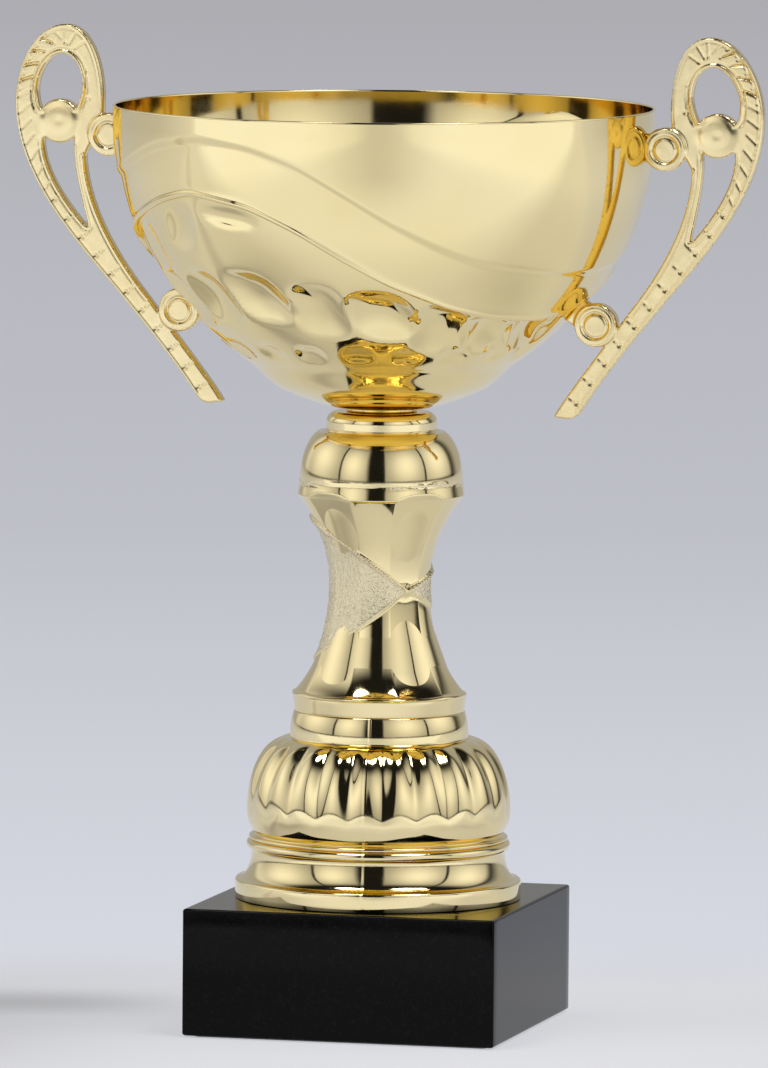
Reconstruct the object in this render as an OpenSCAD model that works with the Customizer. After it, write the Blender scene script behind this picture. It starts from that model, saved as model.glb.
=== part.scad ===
// Cup trophy: a stone plinth, a hollow riser, a fluted stem and a spun cup, all
// clamped on one threaded rod, with a cast handle screwed to each side of the cup.
// Millimetres. +Z is up, the handles lie in the XZ plane, and the origin is the
// centre of the face that the trophy stands on.

/* [Plinth] */
// Width and depth of the square stone plinth
plinth_w = 94.6; // [88:1:140]
// Height of the stone plinth
plinth_h = 37.7; // [25:0.2:60]
// Width of the chamfer along every edge of the plinth
plinth_edge = 0.8; // [0.4:0.1:3]
// Thickness of the felt under the plinth
felt_t = 0.5; // [0.4:0.1:2]
// Distance that the felt stays inside the plinth's sides
felt_inset = 3; // [1:0.5:8]

/* [Riser] */
// Radius of the dome at its widest
dome_r = 39.2; // [32:0.1:48]
// How far the neck under the dome is set in from the dome's widest line
neck_in = 1.6; // [0.8:0.1:4]
// How far the foot stands out past the neck
foot_out = 4.9; // [3:0.1:7]
// Height of the foot's upright lip
foot_h = 5.8; // [3:0.2:10]
// Rounding of the lip's top edge
lip_round = 0.8; // [0.2:0.1:2]
// Height of the hollow curve above the lip
cove_h = 8.7; // [6:0.1:14]
// Height of the round bead above the curve
bead_h = 3; // [2:0.1:4]
// How far the bead stands out from the neck
bead_out = 1.6; // [0.8:0.1:2.4]
// How far the dome's lower edge stands out from the neck
dome_foot_out = 0.8; // [0.2:0.1:0.8]
// Height from the bead to the dome's widest line
dome_low_h = 8.3; // [5:0.1:12]
// Height of the dome above its widest line
dome_h = 22; // [18:0.5:30]
// How far the collar's foot stands out past the stem
collar_out = 1.2; // [0:0.1:3]
// Height of the collar
collar_h = 8; // [7:0.2:12]
// Wall of the riser
riser_wall = 2.5; // [1.5:0.1:3.5]

/* [Stem] */
// Radius of the stem where it stands on the riser
stem_base_r = 25.3; // [21:0.1:28]
// Height of the flange at the foot of the stem
flange_h = 6; // [4:0.2:9]
// How far the flange's top edge stands out past its foot
flange_out = 0.7; // [0:0.1:3]
// Height from the flange to the waist
lower_h = 31.5; // [24:0.5:44]
// Radius of the stem at its waist
waist_r = 14.7; // [12:0.1:18]
// Height from the waist to the brim
upper_h = 26.5; // [20:0.5:38]
// Radius of the brim's lower edge
brim_r = 24.8; // [20.5:0.1:30]
// Height of the brim
brim_h = 4.5; // [3:0.1:6]
// How far the brim's upper edge is set in from its lower edge
brim_in = 0.7; // [0:0.1:2]
// Height of the dome above the brim
cap_h = 15; // [12:0.5:20]
// Radius of the shoulder on top of the dome
shoulder_r = 16.4; // [13.5:0.1:18]
// How far the top of the dome stands out past the shoulder
cap_step = 1.6; // [0.5:0.1:2.5]
// Height of the shoulder
shoulder_h = 5.5; // [4:0.1:8]
// Wall of the stem
stem_wall = 2.2; // [1.5:0.1:2.6]
// How far the spigot that drops into the riser is set in from the stem's foot
spigot_in = 4.5; // [3:0.1:6]
// Length of that spigot
spigot_h = 4; // [2.5:0.1:5]
// Clearance round the spigot
spigot_gap = 0.2; // [0.1:0.05:0.4]

/* [Cup] */
// Diameter of the cup at its widest
cup_d = 160.4; // [130:1:200]
// Depth of the cup's curve below the widest line
cup_h = 85.5; // [70:0.5:110]
// Height of the rim above the widest line
rim_h = 5.2; // [3:0.1:10]
// Fullness of the curve: 2 is an ellipse, and less is a narrower cup
cup_fullness = 1.85; // [1.7:0.01:2.2]
// Radius of the flat where the cup stands on the stem
cup_flat_r = 14.8; // [12:0.1:20]
// Wall of the cup
cup_wall = 0.8; // [0.6:0.1:1.5]
// Thickness of the spacer ring between stem and cup
ring_t = 1.4; // [1:0.1:4]
// Diameter of the spacer ring
ring_d = 21.2; // [16:0.2:26]

/* [Handles] */
// Thickness of a handle
handle_t = 4; // [3:0.1:6]
// Radius of the round lugs that meet the cup
lug_r = 6.5; // [5.5:0.1:8]
// Thickness of the lugs
lug_t = 6.4; // [5.4:0.1:9]
// Height of the upper lug's contact below the rim
upper_drop = 10.2; // [8:0.1:20]
// Height of the lower lug's contact below the rim
lower_drop = 59.3; // [48:0.1:72]
// Height of a handle above its upper lug
handle_rise = 33.2; // [27:0.1:45]
// Reach of a handle outwards from its upper lug
handle_reach = 29.4; // [25:0.1:40]
// Width of the loop's band on its outer side
loop_band = 7; // [5:0.1:9]
// Height of the loop's band at its top
loop_crown = 8.8; // [6:0.1:11]
// Length of the tail below the lower lug
handle_drop = 28; // [22:0.1:38]
// Radius of the round disc inside the loop
disc_r = 6.6; // [5.5:0.1:8]
// Turn of the left handle about its upper lug, in degrees, because its lower lug sits deeper
left_turn = 2.4; // [0:0.1:3]

/* [Fasteners] */
// Diameter of the threaded rod
rod_d = 6; // [5:0.5:8]
// Clearance between the rod and the holes it passes through
rod_gap = 0.3; // [0.2:0.05:0.6]
// Width across the flats of the rod's nuts
nut_af = 10; // [10:0.5:13]
// Height of the rod's nuts
nut_h = 5; // [4:0.1:7]
// Diameter of the rod's washers
washer_d = 18; // [16:0.5:22]
// Thickness of the rod's washers
washer_t = 1.6; // [1:0.1:2.5]
// Length of rod that stands out past each nut
rod_out = 1.8; // [1:0.1:4]
// Diameter of the handle screws
screw_d = 2.9; // [2.2:0.1:3.5]
// Length of a handle screw inside its lug
screw_bite = 6.5; // [4:0.1:8]
// Diameter of a handle screw's head
screw_head_d = 5.6; // [4.6:0.1:6]
// Height of a handle screw's head
screw_head_h = 2; // [1.4:0.1:3]
// Diameter of a handle screw's washer
screw_washer_d = 7; // [6.4:0.1:9]
// Thickness of a handle screw's washer
screw_washer_t = 0.5; // [0.4:0.1:1]

/* [Hidden] */

gold = [0.86, 0.69, 0.32];
steel = [0.72, 0.73, 0.75];
black_stone = [0.05, 0.05, 0.06];
felt_green = [0.06, 0.09, 0.07];

$fn = 96;
cut = 1;              // how far a cutting solid runs past the face it opens
thread_gap = 0.05;    // clearance in the threads, so that solids don't share a surface
web_t = 3;            // end webs of the riser and the stem, which the rod clamps
spigot_wall = 2.5;
lug_gap = 0.08;       // between a lug and the cup's wall
seat_gap = 0.16;      // between a flat washer and the cup's round wall
lug_bite = 0.8;       // how far a lug's circle reaches into the cup before it is trimmed
pocket_gap = 3;       // round the washer and under the rod, in the plinth's pocket

// Radii that follow from their neighbours
neck_r = dome_r - neck_in;
foot_r = neck_r + foot_out;
collar_r = stem_base_r + collar_out;
flange_r = stem_base_r + flange_out;
spigot_r = stem_base_r - spigot_in;
brim_top_r = brim_r - brim_in;
cap_top_r = shoulder_r + cap_step;

// Heights, from the ground up
riser_h = foot_h + cove_h + bead_h + dome_low_h + dome_h + collar_h;
stem_h = flange_h + lower_h + upper_h + brim_h + cap_h + shoulder_h;
plinth_z = felt_t;
riser_z = plinth_z + plinth_h;
stem_z = riser_z + riser_h;
ring_z = stem_z + stem_h;
cup_z = ring_z + ring_t;

// The cup's curve. An angle of 0 is the widest line, and the flat cuts it off below.
cup_r = cup_d / 2;
flat_angle = acos(pow(cup_flat_r / cup_r, cup_fullness / 2));
rim_angle = asin(rim_h / cup_h);
wide_z = cup_z + cup_h * sin(flat_angle);
rim_z = wide_z + rim_h;

// The rod and what it clamps
hole_r = rod_d / 2 + rod_gap;
pocket_r = washer_d / 2 + pocket_gap;
pocket_h = washer_t + nut_h + rod_out + pocket_gap;
base_washer_z = plinth_z + pocket_h - washer_t;
base_nut_z = base_washer_z - nut_h;
cup_floor_z = cup_z + cup_wall;
cup_nut_z = cup_floor_z + washer_t;

function cup_at(grow, a) = [(cup_r + grow) * pow(cos(a), 2 / cup_fullness),
    wide_z + (cup_h + grow) * sin(a)];
function cup_curve(grow, from, to, n) =
    [for (i = [0:n]) cup_at(grow, from + (to - from) * i / n)];
// The angle whose point on the outside of the cup is a given height below the rim
function drop_angle(drop) = asin((rim_h - drop) / cup_h);
// The outward normal of the cup's curve, as [x, z]
function cup_normal(a) =
    let (t = cup_at(0, a + 0.05) - cup_at(0, a - 0.05)) [t[1], -t[0]] / norm(t);

// A quarter or other stretch of an ellipse
function ellipse(cx, cz, rx, rz, from, to, n) =
    [for (i = [0:n]) let (w = from + (to - from) * i / n) [cx + rx * cos(w), cz + rz * sin(w)]];
// A cubic curve from p to s, drawn towards q and r
function curve(p, q, r, s, n) =
    [for (i = [0:n]) let (t = i / n, u = 1 - t)
        u * u * u * p + 3 * u * u * t * q + 3 * u * t * t * r + t * t * t * s];
function backwards(list) = [for (i = [len(list) - 1:-1:0]) list[i]];

// --- Plinth ---

module base_felt() {
    side = plinth_w - 2 * felt_inset;
    color(felt_green)
        translate([-side / 2, -side / 2, 0])
            cube([side, side, felt_t]);
}

module chamfered_block(w, h, e) {
    hull() {
        for (s = [[w, w - 2 * e, h - 2 * e], [w - 2 * e, w, h - 2 * e], [w - 2 * e, w - 2 * e, h]])
            translate([0, 0, h / 2])
                cube(s, center = true);
    }
}

module plinth() {
    color(black_stone)
        translate([0, 0, plinth_z])
            difference() {
                chamfered_block(plinth_w, plinth_h, plinth_edge);
                translate([0, 0, -cut])
                    cylinder(r = hole_r, h = plinth_h + 2 * cut);
                translate([0, 0, -cut])
                    cylinder(r = pocket_r, h = pocket_h + cut);
            }
}

// --- Riser ---

// The collar ends flush with the foot of the stem.
riser_dome_z = foot_h + cove_h + bead_h + dome_low_h;
riser_collar_z = riser_dome_z + dome_h;
dome_out = dome_r - collar_r;
dome_start = acos((neck_r + dome_foot_out - collar_r) / dome_out);
socket_r = spigot_r + spigot_gap;
socket_h = spigot_h + spigot_gap;
riser_web_z = riser_h - socket_h - web_t;

function riser_outline() = concat(
    [[0, 0], [foot_r, 0]],
    ellipse(foot_r - lip_round, foot_h - lip_round, lip_round, lip_round, 0, 90, 4),
    ellipse(foot_r - lip_round, foot_h + cove_h, foot_r - lip_round - neck_r, cove_h, 268, 180, 8),
    ellipse(neck_r, foot_h + cove_h + bead_h / 2, bead_out, bead_h / 2, -88, 88, 8),
    ellipse(collar_r, riser_dome_z, dome_out, dome_low_h / sin(dome_start), -dome_start, 0, 5),
    ellipse(collar_r, riser_dome_z, dome_out, dome_h, 6, 87, 12),
    curve([collar_r, riser_collar_z], [collar_r, riser_collar_z + collar_h / 3],
        [collar_r, riser_h - collar_h / 3], [stem_base_r, riser_h], 5),
    [[0, riser_h]]);

function riser_cavity() = concat(
    [[0, -cut], [neck_r - riser_wall, -cut], [neck_r - riser_wall, riser_dome_z - dome_low_h]],
    ellipse(collar_r - riser_wall, riser_dome_z, dome_out, dome_h - riser_wall, 0, 90, 8),
    [[collar_r - riser_wall, riser_web_z], [0, riser_web_z]]);

module riser() {
    color(gold)
        translate([0, 0, riser_z])
            difference() {
                rotate_extrude()
                    polygon(riser_outline());
                rotate_extrude()
                    polygon(riser_cavity());
                translate([0, 0, riser_h - socket_h])
                    cylinder(r = socket_r, h = socket_h + cut);
                cylinder(r = hole_r, h = riser_h);
            }
}

// --- Stem ---

waist_z = flange_h + lower_h;
brim_z = waist_z + upper_h;
cap_z = brim_z + brim_h;
shoulder_z = cap_z + cap_h;
edge_round = 1;       // rounding of the flange's and the shoulder's top edges
shoulder_round = 3;

// The stem's side, from the waist down to the flange and up to the brim
function lower_side() = curve([flange_r - edge_round, flange_h],
    [waist_r + (flange_r - waist_r) * 0.3, flange_h + lower_h / 3],
    [waist_r, flange_h + lower_h * 0.57], [waist_r, waist_z], 10);
function upper_side() = curve([waist_r, waist_z],
    [waist_r, waist_z + upper_h * 0.43], [waist_r + (brim_r - waist_r) * 0.45, brim_z - upper_h * 0.27],
    [brim_r - edge_round / 4, brim_z], 10);
// The dome over the brim is this much of an ellipse's quarter turn, in degrees.
cap_turn = 76;
cap_rx = (brim_top_r - cap_top_r) / (1 - cos(cap_turn));

function stem_side() = concat(
    [[stem_base_r, 0]],
    ellipse(flange_r - edge_round, flange_h - edge_round, edge_round, edge_round, 0, 80, 3),
    lower_side(),
    upper_side(),
    [[brim_r, brim_z + edge_round / 4]],
    ellipse(brim_top_r - cap_rx, cap_z, cap_rx, cap_h / sin(cap_turn), 0, cap_turn, 10));

function stem_outline() = concat(
    [[0, 0]],
    stem_side(),
    [[shoulder_r, shoulder_z + edge_round / 4]],
    ellipse(shoulder_r - shoulder_round, stem_h - shoulder_round, shoulder_round, shoulder_round, 0, 90, 5),
    [[0, stem_h]]);

function stem_cavity() = concat(
    [[0, web_t], [stem_base_r - stem_wall, web_t]],
    [for (p = stem_side()) if (p[1] > web_t) [p[0] - stem_wall, p[1]]],
    [[shoulder_r - stem_wall, shoulder_z], [shoulder_r - stem_wall, stem_h - web_t], [0, stem_h - web_t]]);

module stem() {
    color(gold)
        translate([0, 0, stem_z])
            difference() {
                union() {
                    rotate_extrude()
                        polygon(stem_outline());
                    translate([0, 0, -spigot_h])
                        cylinder(r = spigot_r, h = spigot_h + cut);
                }
                rotate_extrude()
                    polygon(stem_cavity());
                translate([0, 0, -spigot_h - cut])
                    cylinder(r = spigot_r - spigot_wall, h = spigot_h + web_t + 2 * cut);
                cylinder(r = hole_r, h = stem_h + cut);
            }
}

// --- Cup ---

module spacer_ring() {
    color(gold)
        translate([0, 0, ring_z])
            difference() {
                cylinder(d = ring_d, h = ring_t);
                translate([0, 0, -cut])
                    cylinder(r = hole_r, h = ring_t + 2 * cut);
            }
}

inner_flat_angle = asin((cup_h * sin(flat_angle) - cup_wall) / (cup_h - cup_wall));
inner_rim_angle = asin(rim_h / (cup_h - cup_wall));

function cup_section() = concat(
    [[hole_r, cup_z]],
    cup_curve(0, -flat_angle, rim_angle, 26),
    backwards(cup_curve(-cup_wall, -inner_flat_angle, inner_rim_angle, 26)),
    [[hole_r, cup_floor_z]]);

module cup() {
    color(gold)
        difference() {
            rotate_extrude()
                polygon(cup_section());
            each_lug()
                translate([0, 0, -lug_r])
                    cylinder(r = screw_d / 2 + rod_gap, h = 2 * lug_r);
        }
}

// --- Rod, nuts and washers ---

module tie_rod() {
    bottom = base_nut_z - rod_out;
    color(steel)
        translate([0, 0, bottom])
            cylinder(d = rod_d, h = cup_nut_z + nut_h + rod_out - bottom);
}

module rod_washer(z) {
    color(steel)
        translate([0, 0, z])
            difference() {
                cylinder(d = washer_d, h = washer_t);
                translate([0, 0, -cut])
                    cylinder(r = hole_r, h = washer_t + 2 * cut);
            }
}

module rod_nut(z) {
    color(steel)
        translate([0, 0, z])
            difference() {
                cylinder(d = nut_af / cos(30), h = nut_h, $fn = 6);
                translate([0, 0, -cut])
                    cylinder(r = rod_d / 2 + thread_gap, h = nut_h + 2 * cut);
            }
}

module base_washer() {
    rod_washer(base_washer_z);
}

module base_nut() {
    rod_nut(base_nut_z);
}

module cup_washer() {
    rod_washer(cup_floor_z);
}

module cup_nut() {
    rod_nut(cup_nut_z);
}

// --- Handles ---

upper_angle = drop_angle(upper_drop);
lower_angle = drop_angle(lower_drop);

// Centre of the lug that meets the cup at an angle of its curve
function lug_centre(a) = cup_at(0, a) + (lug_r - lug_bite) * cup_normal(a);

upper_lug = lug_centre(upper_angle);
lower_lug = lug_centre(lower_angle);

// Points of a handle, measured from its upper lug and from its lower lug
function high(x, z) = upper_lug + [x, z];
function low(x, z) = lower_lug + [x, z];

neck_foot = high(2.1, 5);
loop_top = high(handle_reach * 0.44, handle_rise);
loop_side = high(handle_reach, handle_rise * 0.28);
band_foot = low(19.9, 6.2);
tail_out = low(-5.5, 0.5 - handle_drop);
tail_in = low(-12.6, 0.5 - handle_drop);
arm_foot = low(4, -4);
arm_side = low(10, 4);
arm_top = high(8, -6);
disc_centre = high(handle_reach * 0.53, handle_rise * 0.13);

// The whole outside of a handle, from the neck over the loop, down the band, round the
// tail and back up the arm
function handle_outline() = concat(
    curve(neck_foot, neck_foot + [-2, 12], loop_top - [9.5, 0], loop_top, 8),
    curve(loop_top, loop_top + [9.5, 0], loop_side + [0, 11], loop_side, 8),
    curve(loop_side, loop_side - [0, 22], band_foot + [12.5, 15], band_foot, 8),
    curve(band_foot, band_foot - [10.5, 12.5], tail_out + [5, 8], tail_out, 6),
    [tail_out - [1.6, 1.3], tail_in + [1.4, -0.8], tail_in],
    curve(tail_in, tail_in + [4.5, 7.5], arm_foot - [5, 7], arm_foot, 6),
    curve(arm_side, arm_side + [8, 10], arm_top - [0, 16], arm_top, 8));

// The open eye of the loop, closed below by the disc
eye_foot = disc_centre - [5.4, -3.6];
eye_side = [loop_side[0] - loop_band, loop_side[1] + 3.6];
eye_top = [disc_centre[0] - 1.3, loop_top[1] - loop_crown];
function eye_outline() = concat(
    curve(eye_foot, eye_foot + [-4.6, 7.6], eye_top - [5.6, 0], eye_top, 8),
    curve(eye_top, eye_top + [4.4, 0], eye_side + [0.3, 4.6], eye_side, 6),
    curve(eye_side, eye_side - [0.1, 2.6], disc_centre + [6.4, 4], disc_centre + [5, 3.4], 4));

// The long drop-shaped slot between the band and the arm, closed above by the disc
slot_in = disc_centre - [4.6, 4.4];
slot_out = [loop_side[0] - loop_band - 1.5, disc_centre[1] - 5];
slot_foot = (arm_top + band_foot) / 2 + [3.9, -1.2];
function slot_outline() = concat(
    curve(slot_in, slot_in + [1.4, -8], slot_foot + [1.5, 8], slot_foot, 8),
    curve(slot_foot + [0.9, 0.5], slot_foot + [8, 8.5], slot_out - [-0.8, 8], slot_out, 8));

module handle_plate() {
    rotate([90, 0, 0])
        linear_extrude(height = handle_t, center = true)
            difference() {
                polygon(handle_outline());
                difference() {
                    union() {
                        polygon(eye_outline());
                        polygon(slot_outline());
                    }
                    translate(disc_centre)
                        circle(r = disc_r);
                }
            }
}

module lug(centre) {
    translate([centre[0], 0, centre[1]])
        rotate([90, 0, 0])
            cylinder(r = lug_r, h = lug_t, center = true);
}

// Puts its children on the cup under the right-hand lugs, with +Z along the cup's normal
module lug_feet() {
    for (a = [upper_angle, lower_angle]) {
        foot = cup_at(0, a);
        n = cup_normal(a);
        translate([foot[0], 0, foot[1]])
            rotate([0, atan2(n[0], n[1]), 0])
                children();
    }
}

module each_lug() {
    lug_feet()
        children();
    mirror([1, 0, 0])
        lug_feet()
            children();
}

// Everything inside the cup's outer skin, and a little more
module cup_space() {
    rotate_extrude()
        polygon(concat([[0, cup_z - lug_gap]], cup_curve(lug_gap, -flat_angle, rim_angle, 26),
            [[0, rim_z + lug_gap]]));
}

// A handle on the right-hand side, turned inwards about its upper lug
module handle(turn) {
    difference() {
        translate([upper_lug[0], 0, upper_lug[1]])
            rotate([0, turn, 0])
                translate([-upper_lug[0], 0, -upper_lug[1]])
                    union() {
                        handle_plate();
                        lug(upper_lug);
                        lug(lower_lug);
                    }
        cup_space();
        lug_feet()
            cylinder(r = screw_d / 2 + thread_gap, h = screw_bite + cut);
    }
}

module left_handle() {
    color(gold)
        mirror([1, 0, 0])
            handle(left_turn);
}

module right_handle() {
    color(gold)
        handle(0);
}

// Depths under a lug's contact point, towards the middle of the cup
washer_depth = cup_wall + seat_gap + screw_washer_t;
head_depth = washer_depth + screw_head_h;

module handle_screws() {
    color(steel)
        each_lug() {
            translate([0, 0, -head_depth])
                cylinder(d = screw_head_d, h = screw_head_h);
            translate([0, 0, -washer_depth])
                cylinder(d = screw_d, h = washer_depth + screw_bite);
        }
}

module handle_washers() {
    color(steel)
        each_lug()
            translate([0, 0, -washer_depth])
                difference() {
                    cylinder(d = screw_washer_d, h = screw_washer_t);
                    translate([0, 0, -cut])
                        cylinder(r = screw_d / 2 + rod_gap, h = screw_washer_t + 2 * cut);
                }
}

base_felt();
plinth();
base_washer();
base_nut();
tie_rod();
riser();
stem();
spacer_ring();
cup();
cup_washer();
cup_nut();
left_handle();
right_handle();
handle_screws();
handle_washers();
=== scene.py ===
import math

import bpy
import numpy as np
from mathutils import Matrix, Vector


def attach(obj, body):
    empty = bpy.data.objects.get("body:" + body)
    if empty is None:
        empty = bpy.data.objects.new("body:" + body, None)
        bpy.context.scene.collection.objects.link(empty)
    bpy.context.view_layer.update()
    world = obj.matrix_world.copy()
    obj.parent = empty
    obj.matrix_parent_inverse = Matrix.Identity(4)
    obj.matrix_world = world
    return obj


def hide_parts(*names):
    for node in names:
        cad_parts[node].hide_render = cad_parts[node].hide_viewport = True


# Sizes and heights are in millimetres, in the CAD frame, and become metres in add_mesh.
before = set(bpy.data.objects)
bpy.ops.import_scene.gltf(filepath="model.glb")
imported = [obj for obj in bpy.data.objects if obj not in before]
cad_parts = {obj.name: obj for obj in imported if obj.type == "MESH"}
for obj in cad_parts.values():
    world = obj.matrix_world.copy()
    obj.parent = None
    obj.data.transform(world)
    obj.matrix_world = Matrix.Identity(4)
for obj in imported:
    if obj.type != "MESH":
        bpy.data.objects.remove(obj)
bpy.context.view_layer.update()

MM = 0.001
# Angles round the axis are counted from the photographed side, positive to the right.
# The right-hand handle, on the +X axis, is this far round.
HANDLE_TURN = 75.6
# The camera's direction is turned this far from the +Y axis, in radians.
VIEW_TURN = 0.251
# The left-hand handle stands this many degrees further back than straight across.
LEFT_BACK = 4.0


# --- Numbers and curves ---

def smooth(edge0, edge1, x):
    """0 before edge0, 1 after edge1, and an even ramp between them."""
    t = np.clip((x - edge0) / (edge1 - edge0), 0, 1)
    return t * t * (3 - 2 * t)


def bump(x, width):
    """A round hump of height 1 about x = 0."""
    return np.exp(-(x / width) ** 2)


def turn_from(angle, centre):
    """The signed way round from centre to angle, in degrees."""
    return (angle - centre + 180) % 360 - 180


def ramp(start, end, count):
    return np.linspace(start, end, count)


def arc(cx, cz, rx, rz, start, end, count):
    a = np.radians(ramp(start, end, count))
    return np.stack([cx + rx * np.cos(a), cz + rz * np.sin(a)], 1)


def line(p, q, count):
    t = ramp(0, 1, count)[:, None]
    return np.array(p, float) * (1 - t) + np.array(q, float) * t


def curve(p, q, r, s, count):
    """A cubic curve from p to s, drawn towards q and r."""
    t = ramp(0, 1, count)[:, None]
    u = 1 - t
    p, q, r, s = (np.array(v, float) for v in (p, q, r, s))
    return u ** 3 * p + 3 * u * u * t * q + 3 * u * t * t * r + t ** 3 * s


def joined(*runs):
    """One run of points, without the doubled ones where two runs meet."""
    points = np.concatenate(runs)
    keep = np.ones(len(points), bool)
    keep[1:] = np.linalg.norm(np.diff(points, axis=0), axis=1) > 1e-4
    return points[keep]


def travel(points):
    """How far along a run each of its points is."""
    steps = np.linalg.norm(np.diff(points, axis=0), axis=1)
    return np.concatenate([[0], np.cumsum(steps)])


def evenly(points, spacing):
    """The run again, with its points about one spacing apart."""
    s = travel(points)
    t = ramp(0, s[-1], max(2, int(round(s[-1] / spacing)) + 1))
    return np.stack([np.interp(t, s, points[:, k]) for k in (0, 1)], 1)


def outward(points):
    """The normal to the right of a run of points, as [x, z]."""
    d = np.gradient(points, axis=0)
    n = np.stack([d[:, 1], -d[:, 0]], 1)
    return n / np.linalg.norm(n, axis=1)[:, None]


# --- Meshes ---

def add_mesh(name, points, faces, material, nodes, flat=False):
    """A piece that stands for CAD nodes, from points in millimetres."""
    mesh = bpy.data.meshes.new(name)
    mesh.from_pydata((np.asarray(points) * MM).tolist(), [], faces)
    mesh.validate()
    mesh.update()
    mesh.polygons.foreach_set("use_smooth", [not flat] * len(mesh.polygons))
    piece = bpy.data.objects.new(name, mesh)
    bpy.context.scene.collection.objects.link(piece)
    mesh.materials.append(material)
    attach(piece, "root")
    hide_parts(*nodes)
    return piece


def ring_faces(rings, columns, first=0):
    """Quads round a closed tube of rings, whose last ring joins its first."""
    i, j = np.meshgrid(np.arange(rings), np.arange(columns), indexing="ij")
    i2, j2 = (i + 1) % rings, (j + 1) % columns
    quads = np.stack([i * columns + j, i * columns + j2, i2 * columns + j2, i2 * columns + j], -1)
    return (quads.reshape(-1, 4) + first).tolist()


def open_faces(rings, columns):
    """The same quads, without those that would join the last ring to the first."""
    return ring_faces(rings, columns)[:-columns]


def around(columns):
    """Each column's angle in the CAD frame, in radians, and from the photographed side, in degrees."""
    a = np.arange(columns) * 2 * np.pi / columns
    return a, np.degrees(a) + HANDLE_TURN


def spun(radius, height, columns):
    """Points of a surface of revolution. radius and height are [ring, column] or [ring, 1]."""
    a, _ = around(columns)
    shape = (len(radius), columns)
    r, z = np.broadcast_to(radius, shape), np.broadcast_to(height, shape)
    return np.stack([r * np.cos(a), r * np.sin(a), z], -1).reshape(-1, 3)


def pushed_shell(outside, push, rest, low):
    """A shell's points and faces: its outside, pushed out along its normals, and the rest of its section."""
    normal = outward(outside)
    r, z = outside[:, :1] + push * normal[:, :1], outside[:, 1:] + push * normal[:, 1:]
    shape = (len(rest), push.shape[1])
    rest_r, rest_z = np.broadcast_to(rest[:, :1], shape), np.broadcast_to(rest[:, 1:], shape)
    points = spun(np.concatenate([r, rest_r]), np.concatenate([z, rest_z]) + low, shape[1])
    return points, ring_faces(len(outside) + len(rest), shape[1])


def lathe(name, section, columns, material, nodes):
    """A piece of revolution from a closed section round a bore."""
    points = spun(section[:, :1], section[:, 1:], columns)
    return add_mesh(name, points, ring_faces(len(section), columns), material, nodes)


# --- Materials ---

def new_material(name):
    material = bpy.data.materials.new(name)
    material.use_nodes = True
    return material, material.node_tree.nodes, material.node_tree.links


def noise(nodes, links, scale, detail, stretch=None):
    """Noise in the piece's own coordinates, finer where scale is larger."""
    place = nodes.new("ShaderNodeTexCoord")
    out = place.outputs["Object"]
    if stretch:
        shape = nodes.new("ShaderNodeMapping")
        shape.inputs["Scale"].default_value = stretch
        links.new(out, shape.inputs["Vector"])
        out = shape.outputs["Vector"]
    texture = nodes.new("ShaderNodeTexNoise")
    texture.inputs["Scale"].default_value = scale
    texture.inputs["Detail"].default_value = detail
    links.new(out, texture.inputs["Vector"])
    return texture.outputs["Fac"]


def spread(nodes, links, value, low, high, start=0.3, end=0.7, kind="LINEAR"):
    """value, from start to end, taken to the range from low to high."""
    node = nodes.new("ShaderNodeMapRange")
    node.interpolation_type = kind
    for key, number in zip(("From Min", "From Max", "To Min", "To Max"), (start, end, low, high)):
        node.inputs[key].default_value = number
    links.new(value, node.inputs["Value"])
    return node.outputs["Result"]


def blend_colour(nodes, links, value, first, second):
    node = nodes.new("ShaderNodeMix")
    node.data_type = "RGBA"
    links.new(value, node.inputs["Factor"])
    node.inputs[6].default_value = (*first, 1)
    node.inputs[7].default_value = (*second, 1)
    return node.outputs[2]


def add_bump(nodes, links, height, strength, distance, before=None):
    node = nodes.new("ShaderNodeBump")
    node.inputs["Strength"].default_value = strength
    node.inputs["Distance"].default_value = distance
    links.new(height, node.inputs["Height"])
    if before:
        links.new(before, node.inputs["Normal"])
    return node.outputs["Normal"]


def metal(name, light, deep, rough, grain_scale, grain_depth, wave_depth=0.0, reflection_tint=None):
    """A plated metal: two close tints, a roughness that drifts, fine grain and long soft waves.

    The depths are in metres. The last argument is a painted reflection tint, multiplied in where the metal is
    seen reflected in other metal.
    """
    material, nodes, links = new_material(name)
    shader = nodes["Principled BSDF"]
    shader.inputs["Metallic"].default_value = 1
    patches = noise(nodes, links, 38, 3)
    plain = blend_colour(nodes, links, spread(nodes, links, patches, 0, 1), light, deep)
    if reflection_tint:
        # Painted reflection: where a glossy ray sees the metal, its colour is multiplied by the tint.
        deeper = nodes.new("ShaderNodeMix")
        deeper.data_type, deeper.blend_type = "RGBA", "MULTIPLY"
        deeper.inputs[7].default_value = (*reflection_tint, 1)
        links.new(nodes.new("ShaderNodeLightPath").outputs["Is Glossy Ray"], deeper.inputs["Factor"])
        links.new(plain, deeper.inputs[6])
        plain = deeper.outputs[2]
    links.new(plain, shader.inputs["Base Color"])
    wear = noise(nodes, links, 240, 5)
    links.new(spread(nodes, links, wear, rough[0], rough[1]), shader.inputs["Roughness"])
    grain = noise(nodes, links, grain_scale, 2)
    normal = add_bump(nodes, links, grain, 0.5, grain_depth)
    if wave_depth:
        wave = noise(nodes, links, 60, 1)
        normal = add_bump(nodes, links, wave, 0.5, wave_depth, normal)
    links.new(normal, shader.inputs["Normal"])
    return material
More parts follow.
